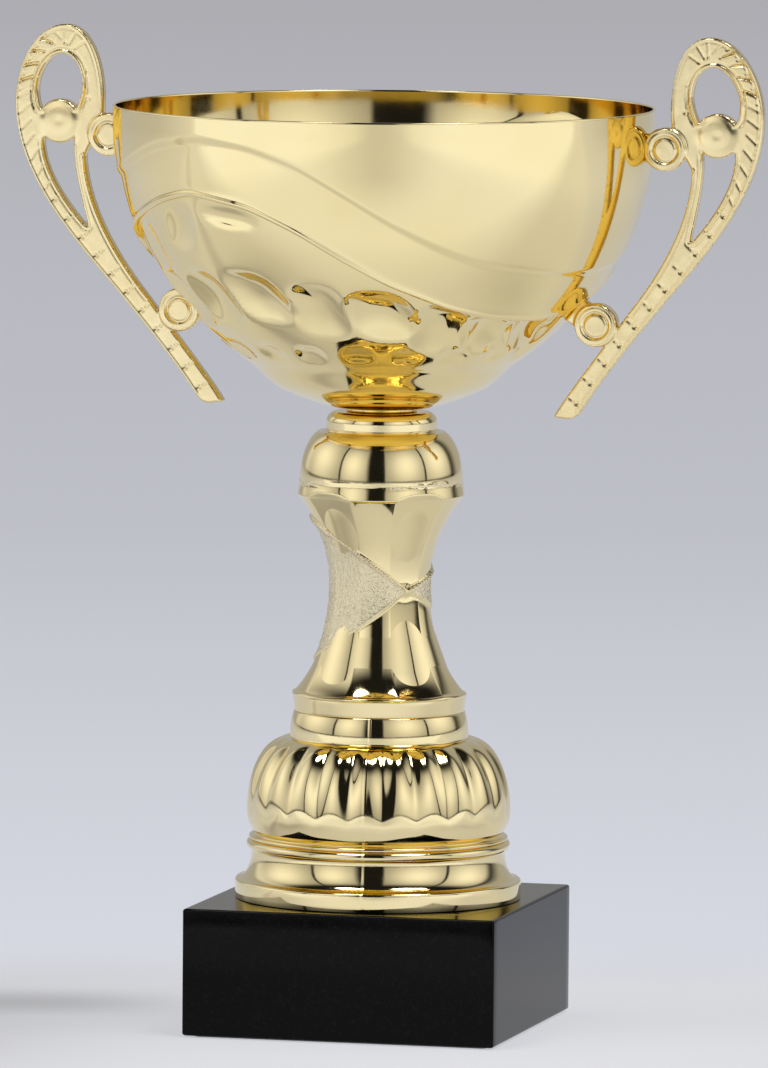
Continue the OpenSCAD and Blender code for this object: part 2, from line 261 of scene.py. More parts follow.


# Painted reflection tint: gold that is seen reflected in other gold is multiplied by this.
PAINTED_REFLECTION_TINT = (0.97, 0.80, 0.30)
cup_gold = metal("cup_gold", (0.88, 0.75, 0.425), (0.86, 0.72, 0.38), (0.05, 0.09),
                 grain_scale=1500, grain_depth=0.000002, wave_depth=0.00006, reflection_tint=PAINTED_REFLECTION_TINT)
cast_gold = metal("cast_gold", (0.87, 0.75, 0.44), (0.85, 0.72, 0.40), (0.04, 0.09),
                  grain_scale=1800, grain_depth=0.000003, wave_depth=0.00002, reflection_tint=PAINTED_REFLECTION_TINT)
handle_gold = metal("handle_gold", (0.88, 0.75, 0.44), (0.86, 0.71, 0.38), (0.14, 0.24),
                    grain_scale=1800, grain_depth=0.00001, reflection_tint=PAINTED_REFLECTION_TINT)
sash_gold = metal("sash_gold", (0.92, 0.84, 0.62), (0.84, 0.74, 0.50), (0.18, 0.30),
                  grain_scale=2400, grain_depth=0.0006, reflection_tint=PAINTED_REFLECTION_TINT)
zinc = metal("zinc_steel", (0.62, 0.63, 0.65), (0.50, 0.51, 0.53), (0.22, 0.36),
             grain_scale=1400, grain_depth=0.00001)


def make_stone():
    """Polished black stone, with faint specks and pits."""
    material, nodes, links = new_material("black_stone")
    shader = nodes["Principled BSDF"]
    specks = spread(nodes, links, noise(nodes, links, 900, 6), 0, 1, 0.56, 0.72)
    links.new(blend_colour(nodes, links, specks, (0.0016, 0.0016, 0.0018), (0.006, 0.006, 0.007)),
              shader.inputs["Base Color"])
    links.new(spread(nodes, links, noise(nodes, links, 55, 6), 0.05, 0.12), shader.inputs["Roughness"])
    shader.inputs["IOR"].default_value = 1.2
    pits = noise(nodes, links, 1600, 3)
    links.new(add_bump(nodes, links, pits, 0.35, 0.00001), shader.inputs["Normal"])
    return material


def make_felt():
    """Dark green felt."""
    material, nodes, links = new_material("dark_felt")
    shader = nodes["Principled BSDF"]
    fibres = noise(nodes, links, 1500, 8, (1, 1.6, 1))
    links.new(blend_colour(nodes, links, spread(nodes, links, fibres, 0, 1), (0.010, 0.016, 0.012),
                           (0.028, 0.040, 0.031)), shader.inputs["Base Color"])
    links.new(spread(nodes, links, fibres, 0.85, 1), shader.inputs["Roughness"])
    shader.inputs["Sheen Weight"].default_value = 0.4
    links.new(add_bump(nodes, links, fibres, 0.8, 0.0003), shader.inputs["Normal"])
    return material


stone = make_stone()
felt = make_felt()


# --- Plinth ---

PLINTH_HALF, PLINTH_LOW, PLINTH_TOP, PLINTH_EDGE = 47.3, 0.5, 38.2, 0.8
POCKET_R, POCKET_DEEP = 12, 11.4
# The radius of the hole for the rod, through every piece on it, and the bevel at the top of the plinth's.
BORE, BORE_EDGE = 3.3, 0.3


def square_ring(half, corner, per_side, per_corner):
    """A square with round corners, from the middle of its +X side."""
    run = []
    for k in range(4):
        turn = np.radians(90 * k)
        side = line((half, -half + corner), (half, half - corner), per_side)
        bend = arc(half - corner, half - corner, corner, corner, 0, 90, per_corner)
        c, s = np.cos(turn), np.sin(turn)
        run.append(joined(side, bend) @ np.array([[c, s], [-s, c]]))
    ring = joined(*run)
    return ring[:-1] if np.linalg.norm(ring[0] - ring[-1]) < 1e-4 else ring


def stacked(name, layers, material, nodes):
    """A piece from closed rings of one length, each with its height, joined in a loop."""
    points = np.concatenate([np.column_stack([ring, np.full(len(ring), z)]) for ring, z in layers])
    return add_mesh(name, points, ring_faces(len(layers), len(layers[0][0])), material, nodes)


def circle_like(ring, radius):
    """A circle whose points lie in the same directions as a ring's."""
    return ring * (radius / np.linalg.norm(ring, axis=1))[:, None]


def make_plinth():
    """A block with rounded edges, drilled through, and with a pocket for the nut underneath."""
    outline = square_ring(PLINTH_HALF, PLINTH_EDGE, 24, 6)

    def level(inset):
        return outline * ((PLINTH_HALF - inset) / PLINTH_HALF)

    edge, bend = PLINTH_EDGE, np.radians(ramp(0, 90, 6))
    layers = [(level(edge * (1 - np.sin(w))), PLINTH_LOW + edge * (1 - np.cos(w))) for w in bend]
    layers += [(level(edge * (1 - np.cos(w))), PLINTH_TOP - edge * (1 - np.sin(w))) for w in bend]
    hole, pocket = circle_like(outline, BORE), circle_like(outline, POCKET_R)
    roof = PLINTH_LOW + POCKET_DEEP
    layers += [(level(2 * edge), PLINTH_TOP), (level(12), PLINTH_TOP),
               (circle_like(outline, BORE + BORE_EDGE), PLINTH_TOP), (hole, PLINTH_TOP - BORE_EDGE),
               (hole, roof), (pocket, roof), (pocket, PLINTH_LOW)]
    return stacked("plinth_block", layers, stone, ["plinth"])


make_plinth()


# --- Riser ---

# Heights in the sections of the riser and the stem are counted from the foot of each.
RISER_COLUMNS, RIBS = 480, 24
# The angles at which the mould line runs up the riser.
SEAMS = (-5.9, 174.1)


def make_riser():
    """A hollow moulding: a plain foot, a bead, a ribbed dome and a collar that the stem stands in."""
    outside = joined(
        line((35.1, 0), (42.2, 0), 4), arc(42.2, 0.3, 0.3, 0.3, -90, 0, 4), line((42.5, 0.3), (42.5, 5), 4),
        arc(41.7, 5, 0.8, 0.8, 0, 90, 7), arc(41.7, 14.5, 4.1, 8.7, 269, 181, 26),
        arc(37.6, 16, 1.6, 1.5, -86, 86, 16), arc(37.9, 18.1, 0.55, 0.6, -80, 84, 7),
        arc(26.5, 25.8, 12.7, 11.2, -38, 0, 22), arc(26.5, 25.8, 12.7, 22, 2, 86, 62),
        curve((26.5, 47.8), (26.5, 50.4), (26.4, 53), (25.3, 55.8), 18))
    seat = joined(line((25.0, 55.8), (21.1, 55.5), 3), line((21.1, 55.5), (21.1, 51.8), 2),
                  line((21.1, 51.8), (8, 51.8), 2), line((8, 51.8), (BORE, 51.8), 2))
    cavity = joined(line((BORE, 48.4), (24, 48.4), 3), arc(24, 25.8, 12.7, 19.5, 88, 4, 18),
                    line((36.7, 25.8), (35.1, 17.5), 3), line((35.1, 17.5), (35.1, 0), 4))
    _, psi = around(RISER_COLUMNS)
    z = outside[:, 1:]
    # The ribs are round on top with narrow valleys between, and fade out at both ends.
    rib = np.abs(np.cos(np.radians(turn_from(psi, SEAMS[0])) * RIBS / 2))[None, :]
    rib = np.sqrt(rib ** 2 + 0.05)
    depth = smooth(20.0, 30, z) * (0.45 + 0.75 * smooth(27, 41, z)) * (1 - smooth(44, 48.5, z))
    seam = sum(bump(turn_from(psi, at), 0.45) for at in SEAMS)[None, :]
    push = depth * (rib - 0.80) + 0.16 * seam * smooth(1, 3, z)
    points, faces = pushed_shell(outside, push, joined(seat, cavity), PLINTH_TOP)
    return add_mesh("riser_shell", points, faces, cast_gold, ["riser"])


make_riser()


# --- Stem ---

STEM_Z, STEM_COLUMNS = 94.0, 400
FLUTES, FIRST_FLUTE, FLUTE_HALF, FLUTE_LOW, FLUTE_HIGH = 5, -42, 19.5, 4.3, 66.0
KNOT_TURN, WAIST_Z, SASH_HALF, CORD_Z = 31, 36.6, 24.6, 68.2


def flutes(psi, z, radius):
    """How deep the flutes cut. Each is nearly a flat facet, whose depth is that of a chord."""
    # The lower end fades into the flange, and the upper one cuts a shallow arch into the brim.
    low = 1 - (1 - np.clip((z - FLUTE_LOW) / 8.0, 0, 1)) ** 2
    high = np.clip((FLUTE_HIGH - z) / 2.4, 0, 1)
    width = np.sqrt(np.clip(1 - (1 - high) ** 2, 1e-6, 1)) * (0.9 + 0.1 * low)
    reach = np.radians(FLUTE_HALF) * width
    cut = 0
    for k in range(FLUTES):
        off = np.radians(turn_from(psi, FIRST_FLUTE + 360 / FLUTES * k))
        flat = radius * (1 - np.cos(reach) / np.cos(np.clip(off, -reach, reach)))
        cut = cut + 0.82 * np.where(high > 0, flat, 0) * low * smooth(0, 0.3, high)
    return cut


def make_stem():
    """A hollow moulding: a flange, a fluted waist with a rough sash, a brim with a cord, and a shoulder."""
    side = joined(
        line((20.8, -3.6), (20.8, 0), 2), line((20.8, 0), (25.1, 0), 3), arc(25.1, 0.2, 0.2, 0.2, -90, 0, 3),
        line((25.3, 0.2), (25.9, 5), 10), arc(25.0, 5, 1.0, 1.0, 0, 85, 8),
        evenly(curve((25.0, 6), (19.0, 12.8), (14.7, 23.9), (14.7, 37.5), 90), 0.5),
        evenly(curve((14.7, 37.5), (14.7, 48.9), (19.2, 56.9), (24.5, 64), 90), 0.55),
        arc(24.4, 64.4, 0.4, 0.4, -60, 20, 5), line((24.77, 64.6), (24.1, 68.3), 9),
        arc(16.1, 68.5, 8.1, 15.46, 1, 70, 34))
    top = joined(
        side[-1:], line((18.0, 83.0), (16.6, 83.3), 3), arc(16.7, 83.8, 0.35, 0.35, -100, -180, 3),
        line((16.4, 83.9), (16.4, 85.6), 6), arc(13.4, 86, 3.0, 3.0, 0, 90, 16),
        line((13.4, 89), (BORE, 89), 6))
    outside = joined(side, top[1:])
    inner = joined(
        line((BORE, 86), (14.2, 86), 3), line((14.2, 83.5), (22, 68), 4), line((22, 63), (12.5, 40), 5),
        line((12.5, 34), (22.6, 6), 5), line((22.8, 3), (18.3, 0), 3), line((18.3, -4), (20.2, -4), 3))
    _, psi = around(STEM_COLUMNS)
    psi = psi[None, :]
    z = outside[:, 1:]
    push = -flutes(psi, z, outside[:, :1])
    # The sash's two edges meet at the knot, and it is narrower just past the knot than before it.
    knot, above = turn_from(psi, KNOT_TURN), z - WAIST_Z
    past = smooth(-2, 2, knot) * (1 - smooth(60, 170, knot))
    from_edge = SASH_HALF * np.abs(np.sin(np.radians(knot) / 2)) * (1 - 0.48 * past) - np.abs(above)
    grain = np.random.default_rng(7).standard_normal((len(outside), STEM_COLUMNS))
    grain = grain + np.roll(grain, 1, 1) + 0.4 * np.roll(grain, 1, 0)
    grain = grain / grain.std()
    push += 0.42 * smooth(-0.1, 0.25, from_edge)
    push += bump(from_edge - 0.5, 0.5) * np.where(above > 0, 0.75, 0.25)
    push += 0.075 * grain * smooth(0.1, 0.8, from_edge)
    push += 0.55 * bump(knot, 7.0) * bump(above, 1.5)
    # A rough cord runs round the top of the brim, higher and lower, and strong in places.
    sway = 0.25 * np.sin(np.radians(psi * 5 + 40)) + 0.12 * np.sin(np.radians(psi * 13))
    strong = smooth(-0.2, 0.7, np.sin(np.radians(psi * 3 - 30)) + 0.4 * np.sin(np.radians(psi * 11)))
    cord = bump(z - CORD_Z + sway, 0.34) * (0.35 + 0.65 * strong)
    push += cord * (0.18 + 0.05 * grain)
    points, faces = pushed_shell(outside, push, inner, STEM_Z)
    piece = add_mesh("stem_column", points, faces, cast_gold, ["stem"])
    piece.data.materials.append(sash_gold)
    rough = np.zeros((len(outside) + len(inner), STEM_COLUMNS), np.int32)
    rough[:len(outside)] = ((from_edge > 0.2) & (z > 6) & (z < 64)) | (cord > 0.55)
    piece.data.polygons.foreach_set("material_index", rough.reshape(-1))


make_stem()


# --- Cup ---

CUP_FLOOR, WIDE_Z, CUP_R, CUP_H, FULLNESS = 184.4, 268.003, 80.2, 85.5, 1.85
FLAT_R, RIM_RISE, WALL, CUP_COLUMNS = 14.8, 5.2, 0.8, 480
# How deep the cup's skin steps in under each wave.
UPPER_STEP, LOWER_STEP = 0.75, 1.5

# Height of the two embossed waves round the cup, as (angle, height), closed on itself.
UPPER_WAVE = (
    (-90, 252), (-73, 257), (-57, 264), (-43, 267), (-30, 265), (-19, 260), (-9, 252), (1, 243.6), (12, 236.4),
    (21, 232), (31, 229.6), (42, 228), (50, 227), (62, 227), (76, 228), (90, 233), (105, 245), (120, 259),
    (137, 267), (152, 264), (165, 257), (178, 246), (192, 236), (211, 229), (228, 227), (242, 230), (256, 240))
LOWER_WAVE = (
    (-90, 234), (-80, 238.5), (-69, 242.5), (-58, 247), (-47, 250), (-31, 246.5), (-20, 240), (-10, 232),
    (1, 224.5), (11, 220), (17, 217.3), (31, 213.8), (48, 212.5), (62, 213.5), (76, 219), (92, 226),
    (110, 238), (133, 250), (149, 246.5), (160, 240), (170, 232), (181, 224.5), (191, 220), (211, 214),
    (228, 212.5), (245, 216), (258, 225))


def wave_height(wave, psi):
    """A wave's height at each angle, with its corners smoothed away."""
    at = np.array([p[0] for p in wave] + [wave[0][0] + 360], float)
    up = np.array([p[1] for p in wave] + [wave[0][1]], float)
    fine = np.arange(720) / 2.0
    z = np.interp((fine - at[0]) % 360 + at[0], at, up)
    reach = np.arange(-16, 17)
    weight = np.exp(-(reach / 7.0) ** 2)
    z = sum(w * np.roll(z, k) for k, w in zip(reach, weight)) / weight.sum()
    return np.interp(psi % 360, np.append(fine, 360), np.append(z, z[0]))


def cup_run(count=3000):
    """The cup's outer curve from its flat floor to its rim: upright above the widest line."""
    low = -math.acos((FLAT_R / CUP_R) ** (FULLNESS / 2))
    a = ramp(low, math.asin(RIM_RISE / CUP_H), count)
    return np.stack([CUP_R * np.cos(np.minimum(a, 0)) ** (2 / FULLNESS), WIDE_Z + CUP_H * np.sin(a)], 1)


def dents():
    """The dents under the lower wave: angle, height, half width, half height, depth, lean."""
    for k in range(20):
        at = 18 * k
        dip = 213 + 5 * math.cos(math.radians(2 * (at + 45)))
        vary = math.cos(2.4 * (k % 10))
        yield at, dip + 0.8 * vary, 10.3 + 0.7 * vary, 10.8 - 0.6 * vary, 3.5 + 0.4 * vary, 0.22 + 0.12 * vary
        yield at + 9, 201.0, 5.4, 4.2, 0.45 if abs(turn_from(at + 9, 0)) < 14 else 1.1, 0.0
    for at, *shape in ((-55, 239, 7.6, 8.0, 1.5, -0.25), (-38, 243.5, 10.5, 3.6, 1.2, 0.3),
                       (-73, 232, 7.0, 9.0, 1.0, 0.2)):
        yield at, *shape
        yield at + 180, *shape


CUP = cup_run()
CUP_S = travel(CUP)
CUP_N = outward(CUP)


def wave_lengths(psi):
    """How far along the cup's curve its upper and its lower wave run, at angles psi."""
    return (np.interp(wave_height(wave, psi), CUP[:, 1], CUP_S) for wave in (UPPER_WAVE, LOWER_WAVE))


def cup_recess(psi, s):
    """How far the cup's skin lies inside its curve, at angles psi and at lengths s along the curve."""
    z = np.interp(s, CUP_S, CUP[:, 1])
    r = np.interp(s, CUP_S, CUP[:, 0])
    upper, lower = wave_lengths(psi)
    recess = UPPER_STEP * smooth(-1.5, 1.5, upper - s)
    # The step under the lower wave is sharp, with a raised lip along its top.
    recess = recess + LOWER_STEP * smooth(-0.3, 0.3, lower - s) - 0.45 * bump(s - lower - 1.0, 0.9)
    # Dents fade out just under the lower wave, so that its lip stays whole, and under the handles.
    clear = smooth(0.4, 3.5, lower - s)
    clear = clear * smooth(7, 12, np.abs(turn_from(psi, HANDLE_TURN)))
    clear = clear * smooth(7, 12, np.abs(turn_from(psi, HANDLE_TURN + 180 - LEFT_BACK)))
    for at, height, half_wide, half_high, depth, lean in dents():
        centre = np.interp(height, CUP[:, 1], CUP_S)
        v = (s - centre) / half_high
        u = np.radians(turn_from(psi, at)) * r / half_wide + lean * v
        x = 1 - (np.abs(u) ** 2.6 + np.abs(v) ** 2.6) ** (2 / 2.6)
        recess = recess + clear * depth * 0.5 * (x + np.sqrt(x * x + 0.004)) * smooth(-0.8, -0.2, x)
    return recess * smooth(189.5, 196, z)


def make_cup():
    """A thin bowl whose mesh rows follow the two waves, so that their edges stay crisp."""
    columns = CUP_COLUMNS
    _, psi = around(columns)
    upper, lower = wave_lengths(psi)
    total = CUP_S[-1]
    stops = np.stack([np.zeros(columns), lower - 1.4, lower + 2.4, upper - 2.0, upper + 2.0,
                      np.full(columns, total - 0.7), np.full(columns, total - 0.3), np.full(columns, total)])
    counts = (64, 14, 11, 8, 20, 1, 1)
    rows = []
    for k, count in enumerate(counts):
        t = ramp(0, 1, count + 1)[:-1, None]
        rows.append(stops[k] * (1 - t) + stops[k + 1] * t)
    rows.append(stops[-1:])
    s = np.concatenate(rows)
    recess = cup_recess(psi[None, :], s)
    r, z = np.interp(s, CUP_S, CUP[:, 0]), np.interp(s, CUP_S, CUP[:, 1])
    nr, nz = np.interp(s, CUP_S, CUP_N[:, 0]), np.interp(s, CUP_S, CUP_N[:, 1])
    out_r, out_z = r - recess * nr, z - recess * nz
    # The inside has every row near the rim, and every other row below.
    pick = np.concatenate([[len(s) - 1, len(s) - 2, len(s) - 3], np.arange(len(s) - 5, -1, -2)])
    deep = recess[pick] + WALL
    in_r, in_z = r[pick] - deep * nr[pick], z[pick] - deep * nz[pick]
    # The inside leans in a little below the rim.
    in_r = in_r - 0.9 * smooth(274, 254, in_z) * smooth(222, 240, in_z)
    in_z[-1:] = CUP_FLOOR + WALL
    lip_r = np.stack([out_r[-1] - 0.1, (out_r[-1] + in_r[0]) / 2, in_r[0] + 0.1])
    lip_z = np.stack([out_z[-1] + 0.16, out_z[-1] + 0.24, out_z[-1] + 0.16])
    in_z[0] = out_z[-1]
    floor_out = [np.full((1, columns), v) for v in (BORE, 7, 11, 13.4)]
    low = [np.full((1, columns), CUP_FLOOR)] * 4
    floor_in = [np.full((1, columns), v) for v in (11.5, 8, BORE)]
    high = [np.full((1, columns), CUP_FLOOR + WALL)] * 3
    radius = np.concatenate(floor_out + [out_r, lip_r, in_r] + floor_in)
    height = np.concatenate(low + [out_z, lip_z, in_z] + high)
    points = spun(radius, height, columns)
    return add_mesh("cup_bowl", points, ring_faces(len(radius), columns), cup_gold, ["cup"])


make_cup()


# --- Handles ---

UPPER_LUG, LOWER_LUG = np.array([85.742, 262.665]), np.array([65.255, 210.311])
LUG_R, LEFT_TURN, HANDLE_GRID = 6.5, 2.4, 0.33
NECK_FOOT, LOOP_TOP, LOOP_SIDE = UPPER_LUG + (2.1, 5), UPPER_LUG + (12.94, 33.2), UPPER_LUG + (29.4, 9.3)
BAND_FOOT, TAIL_OUT, TAIL_IN = LOWER_LUG + (19.9, 6.2), LOWER_LUG + (-5.5, -27.5), LOWER_LUG + (-12.6, -27.5)
ARM_FOOT, ARM_SIDE, ARM_TOP = LOWER_LUG + (4, -4), LOWER_LUG + (10, 4), UPPER_LUG + (8, -6)
DISC = UPPER_LUG + (15.58, 4.32)
DISC_R = 6.6
EYE_FOOT, EYE_SIDE, EYE_TOP = DISC + (-5.4, 3.6), UPPER_LUG + (22.4, 12.9), DISC + (-1.3, 20.1)
SLOT_IN, SLOT_OUT = DISC + (-4.6, -4.4), UPPER_LUG + (20.9, -0.7)
SLOT_FOOT = (ARM_TOP + BAND_FOOT) / 2 + (3.9, -1.2)


def band_edge(count):
    """The outside of the loop and of the band, from the neck to the tail."""
    return joined(
        curve(NECK_FOOT, NECK_FOOT + (-2, 12), LOOP_TOP - (9.5, 0), LOOP_TOP, count),
        curve(LOOP_TOP, LOOP_TOP + (9.5, 0), LOOP_SIDE + (0, 11), LOOP_SIDE, count),
        curve(LOOP_SIDE, LOOP_SIDE - (0, 22), BAND_FOOT + (12.5, 15), BAND_FOOT, count),
        curve(BAND_FOOT, BAND_FOOT - (10.5, 12.5), TAIL_OUT + (6, 9.7), TAIL_OUT + (1.3, 2.1), count))


def tail_edge(count):
    """The rounded end of the tail, and back up its inner side."""
    return joined(
        curve(TAIL_OUT + (1.3, 2.1), TAIL_OUT + (0.2, 0.4), TAIL_OUT - (0.6, 0.2), TAIL_OUT - (2.4, 0.5), 10),
        curve(TAIL_IN + (1.1, -0.2), TAIL_IN + (0.2, -0.1), TAIL_IN, TAIL_IN + (0.5, 0.9), 8),
        curve(TAIL_IN + (0.5, 0.9), TAIL_IN + (4.5, 7.5), ARM_FOOT - (5, 7), ARM_FOOT, count))


def arm_edge(count):
    """The inner side of the arm between the two lugs."""
    return curve(ARM_SIDE, ARM_SIDE + (8, 10), ARM_TOP - (0, 16), ARM_TOP, count)


def eye_edge(count):
    """The hole in the loop, above the disc."""
    return joined(
        curve(EYE_FOOT, EYE_FOOT + (-4.6, 7.6), EYE_TOP - (5.6, 0), EYE_TOP, count),
        curve(EYE_TOP, EYE_TOP + (4.4, 0), EYE_SIDE + (0.3, 4.6), EYE_SIDE, count),
        curve(EYE_SIDE, EYE_SIDE - (0.1, 2.6), DISC + (6.4, 4), DISC + (5, 3.4), count))


def slot_edge(count):
    """The long hole between the arm and the band."""
    return joined(
        curve(SLOT_IN, SLOT_IN + (1.4, -8), SLOT_FOOT + (1.5, 8), SLOT_FOOT, count),
        curve(SLOT_FOOT + (0.9, 0.5), SLOT_FOOT + (8, 8.5), SLOT_OUT - (-0.8, 8), SLOT_OUT, count))


def to_run(p, run, closed):
    """The distance from each point to a run, and how far along the run its nearest place is."""
    a, b = (run, np.roll(run, -1, 0)) if closed else (run[:-1], run[1:])
    start = travel(run)
    best, along = np.full(len(p), 1e9), np.zeros(len(p))
    for k in range(len(a)):
        d = b[k] - a[k]
        size = max(float(d @ d), 1e-12)
        t = np.clip(((p - a[k]) @ d) / size, 0, 1)
        away = np.hypot(*(p - a[k] - t[:, None] * d).T)
        closer = away < best
        best = np.where(closer, away, best)
        along = np.where(closer, start[k] + t * math.sqrt(size), along)
    return best, along


def inside(p, ring):
    """Whether each point is inside a closed ring."""
    x, z = p[:, 0], p[:, 1]
    odd = np.zeros(len(p), bool)
    for (x1, z1), (x2, z2) in zip(ring, np.roll(ring, -1, 0)):
        if z1 != z2:
            cross = (z1 > z) != (z2 > z)
            odd ^= cross & (x < (x2 - x1) * (z - z1) / (z2 - z1) + x1)
    return odd


def signed(p, ring):
    """The distance from each point to a closed ring, below 0 inside it."""
    away, _ = to_run(p, ring, True)
    return np.where(inside(p, ring), -away, away)


def handle_shape(p):
    """How far each point is outside the handle's outline, and the places that its relief follows."""
    whole = joined(band_edge(22), tail_edge(14), arm_edge(20))
    eye, slot = signed(p, eye_edge(16)), signed(p, slot_edge(18))
    disc = np.hypot(*(p - DISC).T)
    holes = np.maximum(np.minimum(eye, slot), DISC_R - disc)
    plate = np.maximum(signed(p, whole), -holes)
    lug = np.minimum(np.hypot(*(p - UPPER_LUG).T), np.hypot(*(p - LOWER_LUG).T))
    shape = np.minimum(plate, lug - LUG_R)
    for middle, way in ((UPPER_LUG, (-1, 0.06)), (LOWER_LUG, (-0.82, 0.57))):
        way = np.array(way) / np.linalg.norm(way)
        off = p - middle
        along = np.clip(off @ way, 0, 8.5)
        shape = np.minimum(shape, np.hypot(*(off - along[:, None] * way).T) - 4.2)
    # Each lug runs on a little into the cup's wall, which lies deeper under the waves.
    run, normals = CUP[::12], CUP_N[::12]
    away, along = to_run(p, run, False)
    nearest = np.clip(np.interp(along, travel(run), np.arange(len(run))).astype(int), 0, len(run) - 1)
    side = np.sign(np.sum((p - run[nearest]) * normals[nearest], 1))
    wall = np.where(p[:, 1] > 240, 0.35, UPPER_STEP + LOWER_STEP + 0.10)
    shape = np.maximum(shape, -(side * away + wall))
    return {"shape": shape, "eye": eye, "slot": slot, "disc": disc, "lug": lug}


def handle_face(p, place):
    """How far each point of the handle's face stands out from its middle plane."""
    deep = np.clip(-place["shape"], 0, None)
    edge, along = to_run(p, evenly(band_edge(60), 0.4), False)
    inner_edge, _ = to_run(p, arm_edge(40), False)
    lugs = place["lug"]
    on_lug = 1 - smooth(LUG_R - 0.5, LUG_R + 0.3, lugs)
    on_disc = 1 - smooth(DISC_R - 2.6, DISC_R + 0.4, place["disc"])
    plain = (1 - on_lug) * (1 - on_disc)
    off_disc = smooth(DISC_R + 0.4, DISC_R + 2.5, place["disc"])
    # Raised rims round the eye and along both edges, each with a fine line beside it.
    relief = 0.32 * (1 - smooth(0.85, 1.1, np.abs(place["eye"])))
    relief -= off_disc * 0.42 * bump(np.abs(place["eye"]) - 1.5, 0.28)
    relief += 0.12 * (1 - smooth(0.7, 0.95, edge)) + 0.12 * (1 - smooth(0.7, 0.95, inner_edge))
    relief -= 0.10 * bump(edge - 1.15, 0.24) + 0.20 * bump(inner_edge - 1.1, 0.22)
    relief -= off_disc * 0.20 * bump(np.abs(place["slot"]) - 1.1, 0.24)
    # Hooked notches down the outer side of the loop: strong at first, then faint.
    pitch = 5.0
    phase = ((along + 0.75 * (edge - 1.2)) / pitch) % 1 - 0.5
    reach = smooth(0.9, 1.2, edge) * (1 - smooth(4.2, 5.2, edge))
    strong = smooth(38, 41, along) * (1 - smooth(58, 61, along))
    faint = smooth(34, 38, along) * (1 - smooth(92, 100, along))
    relief -= reach * bump(phase * pitch, 0.38) * (0.14 * faint + 0.85 * strong)
    hook = smooth(-0.5, -0.45, phase) * (1 - smooth(-0.05, 0.0, phase))
    relief -= strong * hook * 0.45 * bump(edge - 1.35, 0.34)
    # Three faint lines across the top of the loop, each ending in a dot, and two dots up the neck.
    across = smooth(1.2, 1.6, edge) * (1 - smooth(5.0, 5.6, edge))
    for at in (24.5, 28.8, 33.0):
        relief -= 0.14 * bump(along - at, 0.30) * across
        relief -= 0.30 * bump(along - at, 0.45) * bump(edge - 5.6, 0.45)
    for at in (6.0, 15.0):
        relief -= 0.26 * bump(along - at, 0.45) * bump(edge - 4.6, 0.45)
    # Down the band, a small pit near the outer edge and a short dash further in, over and over.
    gap = 7.15
    twin = ((along / gap) % 1 - 0.5) * gap
    low = smooth(92, 98, along)
    relief -= low * 0.50 * bump(np.hypot(twin, edge - 2.1), 0.50)
    relief -= low * 0.16 * bump(twin, 0.34) * (1 - smooth(0.7, 1.0, np.abs(edge - 4.4)))
    height = 1.85 + plain * relief
    # A low domed disc that runs into the arm, and lugs with a ring cut into each face.
    dome = np.sqrt(np.clip(1 - (place["disc"] / (DISC_R + 0.8)) ** 2, 0, 1))
    height = height * (1 - on_disc) + on_disc * (1.75 + 0.62 * dome - 0.07 * bump(place["disc"], 1.2))
    face = 2.85 - 0.20 * (1 - smooth(3.2, 3.6, lugs))
    face = face - 0.75 * bump(lugs - 3.7, 0.38) - 0.16 * bump(lugs - 5.5, 0.25)
    height = height * (1 - on_lug) + on_lug * face
    # Everything rounds over at its rim.
    soft = 0.7
    turn = np.clip(1 - deep / soft, 0, 1)
    return height - soft * (1 - np.sqrt(1 - turn ** 2)) * 0.9


def set_back(points):
    """Points of the left-hand handle, turned back round the trophy's axis."""
    c, s = math.cos(math.radians(-LEFT_BACK)), math.sin(math.radians(-LEFT_BACK))
    return points @ np.array([[c, s, 0], [-s, c, 0], [0, 0, 1]])


